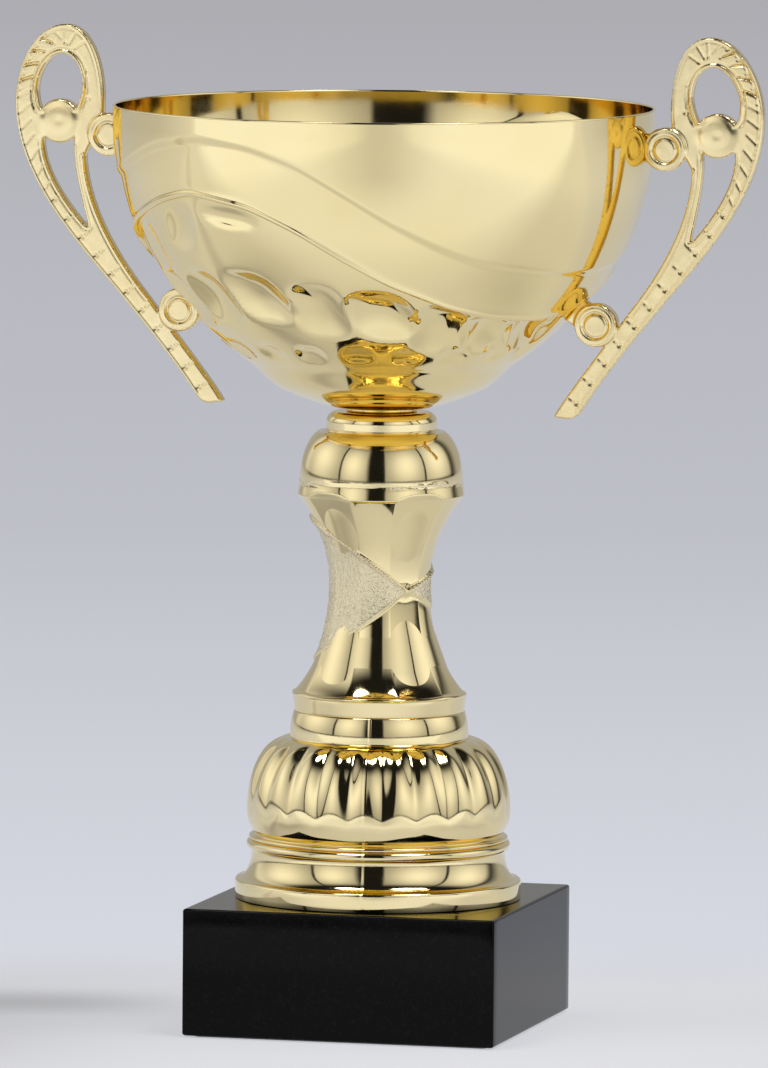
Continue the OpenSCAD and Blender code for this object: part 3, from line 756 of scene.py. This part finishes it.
def make_handle(name, node, mirrored):
    """A flat casting with relief on both faces, meshed as a grid whose border is drawn onto its outline."""
    gx, gz = np.meshgrid(np.arange(50, 118, HANDLE_GRID), np.arange(180, 298, HANDLE_GRID), indexing="ij")
    p = np.stack([gx.ravel(), gz.ravel()], 1)
    shape = handle_shape(p)["shape"].reshape(gx.shape)
    # Grid points near the outline are drawn onto it along the slope of the distance.
    slope_x, slope_z = np.gradient(shape, HANDLE_GRID)
    size = np.maximum(np.hypot(slope_x, slope_z), 0.3)
    near = np.abs(shape) <= HANDLE_GRID * 0.5
    px = np.where(near, gx - shape * slope_x / size ** 2, gx)
    pz = np.where(near, gz - shape * slope_z / size ** 2, gz)
    kept = near | (shape < 0)
    number = np.full(gx.shape, -1)
    number[kept] = np.arange(kept.sum())
    corners = np.stack([number[:-1, :-1], number[1:, :-1], number[1:, 1:], number[:-1, 1:]], -1).reshape(-1, 4)
    faces = [c[c >= 0].tolist() for c in corners[(corners >= 0).sum(1) >= 3]]
    flat = np.stack([px[kept], pz[kept]], 1)
    middle = np.array([flat[f].mean(0) for f in faces])
    keep = handle_shape(middle)["shape"] < 0.02
    faces = [f for f, k in zip(faces, keep) if k]
    used = np.unique(np.concatenate(faces))
    flat = flat[used]
    faces = [np.searchsorted(used, f).tolist() for f in faces]
    high = handle_face(flat, handle_shape(flat))
    count = len(flat)
    edges = {(u, v) for f in faces for u, v in zip(f, f[1:] + f[:1])}
    rim = sorted((u, v) for u, v in edges if (v, u) not in edges)
    # The front of the plate faces -Y, so its faces keep the grid's order, and the back is turned over.
    all_faces = faces + [[v + count for v in reversed(f)] for f in faces]
    all_faces += [[v, u, u + count, v + count] for u, v in rim]
    x3, z3 = flat[:, 0], flat[:, 1]
    if mirrored:
        # The left-hand handle leans in, turned about its upper lug.
        t = math.radians(LEFT_TURN)
        dx, dz = x3 - UPPER_LUG[0], z3 - UPPER_LUG[1]
        x3 = UPPER_LUG[0] + dx * math.cos(t) + dz * math.sin(t)
        z3 = UPPER_LUG[1] - dx * math.sin(t) + dz * math.cos(t)
    points = np.concatenate([np.stack([x3, -high, z3], 1), np.stack([x3, high, z3], 1)])
    if mirrored:
        points[:, 0] *= -1
        points = set_back(points)
        all_faces = [f[::-1] for f in all_faces]
    return add_mesh(name, points, all_faces, handle_gold, [node])


make_handle("handle_right", "right_handle", False)
make_handle("handle_left", "left_handle", True)


# --- Rod, nuts, washers and screws ---

ROD_LOW, ROD_TOP, ROD_R, PITCH, SHANK_LOW, SHANK_TOP = 3.5, 193.6, 3.0, 1.0, 24, 172
BASE_NUT_Z, BASE_WASHER_Z, CUP_WASHER_Z, CUP_NUT_Z, NUT_HIGH, WASHER_HIGH = 5.3, 10.3, 185.2, 186.8, 5.0, 1.6


def make_spacer():
    section = joined(line((BORE, 183), (10.2, 183), 3), arc(10.2, 183.7, 0.4, 0.7, -90, 90, 9),
                     line((10.2, 184.4), (BORE, 184.4), 3))
    return lathe("spacer_collar", section, 96, cast_gold, ["spacer_ring"])


def make_rod():
    """A rod with a thread at each end, and a plain shank between."""
    columns = 36
    z = np.concatenate([np.arange(ROD_LOW, SHANK_LOW, 0.1), np.arange(SHANK_LOW, SHANK_TOP, 4.0),
                        np.arange(SHANK_TOP, ROD_TOP + 0.05, 0.1)])
    turn = z[:, None] / PITCH - np.arange(columns)[None, :] / columns
    flank = np.clip(1.5 * np.abs(2 * (turn % 1) - 1) - 0.25, 0, 1)
    plain = (smooth(SHANK_LOW - 1, SHANK_LOW, z) * (1 - smooth(SHANK_TOP, SHANK_TOP + 1, z)))[:, None]
    ends = np.minimum(z - ROD_LOW, ROD_TOP - z)[:, None]
    r = np.minimum(ROD_R - 0.5 * flank * (1 - plain) - 0.12 * plain, 2.1 + ends)
    last = (len(z) - 1) * columns
    faces = open_faces(len(z), columns)
    faces += [list(range(columns))[::-1], [last + j for j in range(columns)]]
    return add_mesh("tie_rod_threaded", spun(r, z[:, None], columns), faces, zinc, ["tie_rod"])


def make_nut(name, low, node):
    """A hexagon nut whose corners are turned away at both ends."""
    columns = 96
    hexagon = 5.0 / np.cos(np.radians(np.arange(columns) * 360 / columns % 60 - 30))
    heights = (0, 0.2, 0.45, 0.7, NUT_HIGH - 0.7, NUT_HIGH - 0.45, NUT_HIGH - 0.2, NUT_HIGH)
    sides = [np.minimum(hexagon, 4.75 + 1.6 * min(h, NUT_HIGH - h)) for h in heights]
    radius = np.array(sides + [np.full(columns, r) for r in (3.45, 3.05, 3.05, 3.45)])
    height = np.array([*heights, NUT_HIGH, NUT_HIGH - 0.4, 0.4, 0])[:, None] + low
    return add_mesh(name, spun(radius, height, columns), ring_faces(len(radius), columns), zinc,
                    [node], flat=True)


def make_washer(name, low, node):
    e, high = 0.3, low + WASHER_HIGH
    section = joined(line((BORE, low), (9 - e, low), 4), arc(9 - e, low + e, e, e, -90, 0, 6),
                     arc(9 - e, high - e, e, e, 0, 90, 6), line((9 - e, high), (BORE + e, high), 4),
                     line((BORE + e, high), (BORE, high - e), 2))
    return lathe(name, section, 96, zinc, [node])


# Where each pair of screws crosses the cup's curve, and how far in from there the wall's inside lies.
SCREWS = ((263.003, WALL + 0.45), (213.903, WALL + UPPER_STEP + LOWER_STEP))
# The washers' thickness, and the room they need to lie on the curved wall.
THIN, ROOM = 0.5, 0.16


def turned(section, columns, slot_depth=0.0):
    """Rings of a screw or washer about its own axis. A cross is cut into the rings of a screw's head."""
    r, w = section[:, :1], section[:, 1:]
    if slot_depth:
        a, _ = around(columns)
        u, v = np.abs(r * np.cos(a)), np.abs(r * np.sin(a))
        cross = np.maximum((u < 0.42) & (v < 1.6), (v < 0.42) & (u < 1.6))
        w = w + slot_depth * cross * (w < -3.0)
    return spun(r, w, columns)


def on_cup(points, foot, normal, mirrored):
    """Points about a screw's own axis, moved to its place in the cup's wall."""
    out, across = np.array([normal[0], 0, normal[1]]), np.array([normal[1], 0, -normal[0]])
    moved = np.array([foot[0], 0, foot[1]]) + points[:, :1] * across + points[:, 2:] * out
    moved = moved + points[:, 1:2] * np.array([0, 1, 0])
    return set_back(moved * np.array([-1, 1, 1])) if mirrored else moved


def make_fixings():
    """The four handle screws, with cross recesses in their heads, and their washers."""
    columns = 48
    washer = joined(line((1.75, 0), (3.3, 0), 3), arc(3.3, 0.2, 0.2, 0.2, -90, 0, 4),
                    arc(3.3, THIN - 0.2, 0.2, 0.2, 0, 90, 4), line((3.3, THIN), (1.75, THIN), 3))
    head = joined(line((0.02, -2.0), (1.9, -1.85), 14), arc(1.9, -1.0, 0.9, 0.85, -90, 0, 8),
                  line((2.8, -1.0), (2.8, 0), 4), line((2.8, 0), (1.45, 0), 3))
    thread = np.array([(1.45 - 0.25 * (k % 2), 0.2 + 0.3 * k) for k in range(25)])
    tip = np.array([(1.2, 6.4), (0.9, 6.5), (0.02, 6.5)])
    kinds = {"screw": ([], []), "washer": ([], [])}
    for height, inside_at in SCREWS:
        sink = (0, inside_at + ROOM + THIN)
        k = int(np.argmin(np.abs(CUP[:, 1] - height)))
        shank = thread - sink
        screw = np.concatenate([head - sink, shank[shank[:, 1] < 6.1], tip])
        for mirrored in (False, True):
            for kind, section, slot in (("washer", washer - sink, 0.0), ("screw", screw, 0.9)):
                points, faces = kinds[kind]
                rings = ring_faces(len(section), columns, sum(len(p) for p in points))
                faces += [f[::-1] for f in rings] if mirrored else rings
                points.append(on_cup(turned(section, columns, slot), CUP[k], CUP_N[k], mirrored))
    for kind, (points, faces) in kinds.items():
        add_mesh(f"handle_{kind}_set", np.concatenate(points), faces, zinc, [f"handle_{kind}s"])


def make_felt_pad():
    """A square of felt with a slightly uneven, rounded edge."""
    outline = square_ring(44.3, 1.2, 60, 6)
    fray = 1 + 0.0012 * np.random.default_rng(11).standard_normal(len(outline))[:, None]
    rim = outline * fray
    hole, edge = circle_like(outline, POCKET_R), circle_like(outline, POCKET_R + 0.2)
    layers = [(rim * 0.997, 0.0), (rim, 0.14), (rim, 0.36), (rim * 0.997, PLINTH_LOW),
              (edge, PLINTH_LOW), (hole, 0.4), (hole, 0.1), (edge, 0.0)]
    return stacked("felt_pad", layers, felt, ["base_felt"])


make_spacer()
make_rod()
make_nut("base_nut_hex", BASE_NUT_Z, "base_nut")
make_nut("cup_nut_hex", CUP_NUT_Z, "cup_nut")
make_washer("base_washer_disc", BASE_WASHER_Z, "base_washer")
make_washer("cup_washer_disc", CUP_WASHER_Z, "cup_washer")
make_fixings()
make_felt_pad()


# --- Camera ---

# In metres, in millimetres on a sensor 36 mm wide, and in radians.
CAMERA_AT, CAMERA_LENS, CAMERA_DOWN, CAMERA_ROLL = (0.9663, -3.7648, 0.51284), 443.92, 0.094, 0.0082


def make_camera():
    """The photo's viewpoint: far off, with a long lens, and a little above the cup."""
    c, s = math.cos(CAMERA_DOWN), math.sin(CAMERA_DOWN)
    fwd = Vector((-math.sin(VIEW_TURN) * c, math.cos(VIEW_TURN) * c, -s))
    right = Vector((math.cos(VIEW_TURN), math.sin(VIEW_TURN), 0))
    up = right.cross(fwd)
    x = right * math.cos(CAMERA_ROLL) + up * math.sin(CAMERA_ROLL)
    y = up * math.cos(CAMERA_ROLL) - right * math.sin(CAMERA_ROLL)
    data = bpy.data.cameras.new("camera")
    data.sensor_width = 36
    data.lens = CAMERA_LENS
    data.clip_start, data.clip_end = 0.1, 50
    camera = bpy.data.objects.new("camera", data)
    bpy.context.scene.collection.objects.link(camera)
    camera.matrix_world = Matrix([(x[k], y[k], -fwd[k], CAMERA_AT[k]) for k in range(3)] + [(0, 0, 0, 1)])
    bpy.context.scene.camera = camera


make_camera()


# --- Floor and light ---

class Sum:
    """Arithmetic on values, written out as nodes."""

    def __init__(self, nodes, links):
        self.nodes, self.links = nodes, links

    def math(self, operation, *inputs):
        node = self.nodes.new("ShaderNodeMath")
        node.operation = operation
        for k, value in enumerate(inputs):
            if isinstance(value, (int, float)):
                node.inputs[k].default_value = value
            else:
                self.links.new(value, node.inputs[k])
        return node.outputs[0]

    def plus(self, a, b):
        return self.math("ADD", a, b)

    def minus(self, a, b):
        return self.math("SUBTRACT", a, b)

    def times(self, a, b):
        return self.math("MULTIPLY", a, b)

    def step(self, value, low, high, way=1):
        """A soft step from 0 to 1 between low and high, or down from 1 to 0 when way is -1."""
        ends = (0, 1) if way > 0 else (1, 0)
        return spread(self.nodes, self.links, value, *ends, low, high, "SMOOTHSTEP")

    def window(self, value, low, high, soft, soft_high=None):
        """1 between low and high, with soft edges."""
        end = soft if soft_high is None else soft_high
        rise = self.step(value, low - soft, low + soft)
        return self.times(rise, self.step(value, high - end, high + end, -1))

    def patch(self, u, v, middle, size):
        """A soft round hump of height 1 about a middle, as [u, v], and of a size each way."""
        u = self.math("DIVIDE", self.minus(u, middle[0]), size[0])
        v = self.math("DIVIDE", self.minus(v, middle[1]), size[1])
        away = self.plus(self.times(u, u), self.times(v, v))
        return self.math("EXPONENT", self.times(away, -1.0))


# Metres behind the trophy, from before it to far behind, and the tone of the floor at each.
# These tones are painted light: brightest in front of the trophy, where the gold reflects the floor, and
# darker far behind.
FLOOR_PAINTED_TONES = ((-1.0, (0.93, 0.95, 1.0)), (-0.3, (0.93, 0.95, 1.0)), (-0.13, (0.72, 0.73, 0.77)),
               (0.09, (0.72, 0.73, 0.77)), (0.17, (0.65, 0.67, 0.74)), (1.55, (0.50, 0.51, 0.56)),
               (5.7, (0.40, 0.40, 0.43)))
FLOOR_END, FLOOR_GLOW = 7.0, 1.4


def floor_dimness(calc, side, depth):
    """How much less the floor glows in places, which the gold reflects."""
    # Far in front of the trophy it is dimmer straight ahead, where no lamp stands.
    ahead = calc.times(calc.math("ARCTAN2", side, calc.times(depth, -1.0)), 180 / math.pi)
    dim = calc.times(calc.window(ahead, -16, 11, 17), calc.step(depth, -0.9, -0.3, -1))
    dim = calc.times(dim, 0.55)
    # A soft dim patch lies on each side, outside the picture, and both sides are bright further out.
    for at, size, much in ((-0.20, 0.10, 0.80), (0.22, 0.08, 0.35)):
        dim = calc.plus(dim, calc.times(calc.patch(side, depth, (at, -0.03), (size, 0.10)), much))
    wide = calc.step(calc.math("ABSOLUTE", side), 0.40, 1.0)
    dim = calc.minus(dim, calc.times(wide, 0.32))
    # A soft shadow comes in from the left.
    shade = calc.times(calc.step(side, -0.10, -0.045, -1), calc.window(depth, 0.025, 0.065, 0.02))
    return calc.plus(dim, calc.times(shade, 0.42))


def make_floor():
    """One wide pale floor, turned to the camera. Its tone follows the depth behind the trophy: painted light,
    brightest in front and falling off far behind, that colours both its glow and its matt part.
    """
    rings, columns = np.array((0.1, 60, 120, 200, 300, 500, 900, 1600, 3000, 6000, 12000)), 96
    mesh = bpy.data.meshes.new("floor")
    mesh.from_pydata((spun(rings[:, None], np.zeros((len(rings), 1)), columns) * MM).tolist(), [],
                     [f[::-1] for f in open_faces(len(rings), columns)])
    floor = bpy.data.objects.new("floor", mesh)
    floor.rotation_euler = (0, 0, VIEW_TURN)
    bpy.context.scene.collection.objects.link(floor)
    material, nodes, links = new_material("floor")
    nodes.remove(nodes["Principled BSDF"])
    calc = Sum(nodes, links)
    place = nodes.new("ShaderNodeTexCoord")
    split = nodes.new("ShaderNodeSeparateXYZ")
    links.new(place.outputs["Object"], split.inputs["Vector"])
    side, depth = split.outputs["X"], split.outputs["Y"]
    first = FLOOR_PAINTED_TONES[0][0]
    tone = nodes.new("ShaderNodeValToRGB")
    links.new(spread(nodes, links, depth, 0, 1, first, FLOOR_END), tone.inputs["Fac"])
    stops = tone.color_ramp.elements
    for k, (at, colour) in enumerate(FLOOR_PAINTED_TONES):
        along = (at - first) / (FLOOR_END - first)
        stop = stops[k] if k < 2 else stops.new(along)
        stop.position = along
        stop.color = (*colour, 1)
    # Half glow and half plain matt, so that the trophy still throws a faint shadow.
    glow, matt = nodes.new("ShaderNodeEmission"), nodes.new("ShaderNodeBsdfDiffuse")
    links.new(tone.outputs["Color"], glow.inputs["Color"])
    links.new(calc.minus(FLOOR_GLOW, floor_dimness(calc, side, depth)), glow.inputs["Strength"])
    links.new(tone.outputs["Color"], matt.inputs["Color"])
    both = nodes.new("ShaderNodeMixShader")
    links.new(matt.outputs["BSDF"], both.inputs[1])
    links.new(glow.outputs["Emission"], both.inputs[2])
    links.new(both.outputs["Shader"], nodes["Material Output"].inputs["Surface"])
    mesh.materials.append(material)


make_floor()

# Angles in degrees. Each softbox: where it begins and ends, how soft those edges are, and the middle and the
# width of its bright part.
SOFTBOXES = ((-140, -63.5, 6, 0.8, -98, 30), (-60.5, -20, 0.8, 4, -43, 21.25), (5.5, 65, 1.6, 0.8, 38, 26.25),
             (68, 118, 0.8, 6, 91, 27.5))
BOX_EDGE, BOX_MIDDLE, BOX_UP, BOX_HIGH = 0.30, 0.85, 20, 24
# Each lamp: the way round to it, its height, its radius and its strength.
LAMPS = ((-50, 69, 7, 9), (45, 69, 7, 9), (62, 67, 6, 9))
ROOM_GLOW, REAR_GLOW, BACKDROP = 0.012, 0.42, 0.40


def toward(azimuth, elevation):
    """The direction at an angle round from the viewer, positive to the right, and an angle up."""
    a, e = math.radians(azimuth - HANDLE_TURN), math.radians(elevation)
    return math.cos(a) * math.cos(e), math.sin(a) * math.cos(e), math.sin(e)


def make_world():
    """Studio light: softboxes on both sides of a dark gap behind the camera, and three small lamps above."""
    world = bpy.data.worlds.new("studio")
    bpy.context.scene.world = world
    world.use_nodes = True
    nodes, links = world.node_tree.nodes, world.node_tree.links
    calc = Sum(nodes, links)
    place = nodes.new("ShaderNodeTexCoord")
    split = nodes.new("ShaderNodeSeparateXYZ")
    links.new(place.outputs["Generated"], split.inputs["Vector"])
    x, y, z = split.outputs
    ahead = toward(0, 0)
    front = calc.plus(calc.times(x, ahead[0]), calc.times(y, ahead[1]))
    side = calc.minus(calc.times(y, ahead[0]), calc.times(x, ahead[1]))
    azimuth = calc.times(calc.math("ARCTAN2", side, front), 180 / math.pi)
    elevation = calc.times(calc.math("ARCSINE", z), 180 / math.pi)
    upright = calc.step(elevation, 40, 56, -1)
    level = ROOM_GLOW
    for start, end, soft, soft_end, middle, wide in SOFTBOXES:
        bright = calc.patch(azimuth, elevation, (middle, BOX_UP), (wide, BOX_HIGH))
        bright = calc.plus(BOX_EDGE, calc.times(bright, BOX_MIDDLE))
        box = calc.times(calc.window(azimuth, start, end, soft, soft_end), upright)
        level = calc.plus(level, calc.times(box, bright))
    # A thin dark line runs round at the floor's far edge.
    level = calc.times(level, calc.plus(0.30, calc.times(calc.step(elevation, 0.6, 1.6), 0.70)))
    behind = calc.times(calc.step(calc.math("ABSOLUTE", azimuth), 118, 142), upright)
    level = calc.plus(level, calc.times(behind, REAR_GLOW))
    for at, up, size, power in LAMPS:
        near = nodes.new("ShaderNodeVectorMath")
        near.operation = "DOT_PRODUCT"
        near.inputs[1].default_value = toward(at, up)
        links.new(place.outputs["Generated"], near.inputs[0])
        edge = [math.cos(math.radians(size + soft)) for soft in (1, -1)]
        level = calc.plus(level, calc.times(calc.step(near.outputs["Value"], *edge), power))
    # The camera itself sees plain grey beyond the floor.
    seen = nodes.new("ShaderNodeLightPath").outputs["Is Camera Ray"]
    level = calc.plus(calc.times(level, calc.minus(1.0, seen)), calc.times(seen, BACKDROP))
    back = nodes["Background"]
    back.inputs["Color"].default_value = (1.0, 0.985, 0.965, 1)
    links.new(level, back.inputs["Strength"])


make_world()
bpy.context.scene.view_settings.view_transform = "Standard"
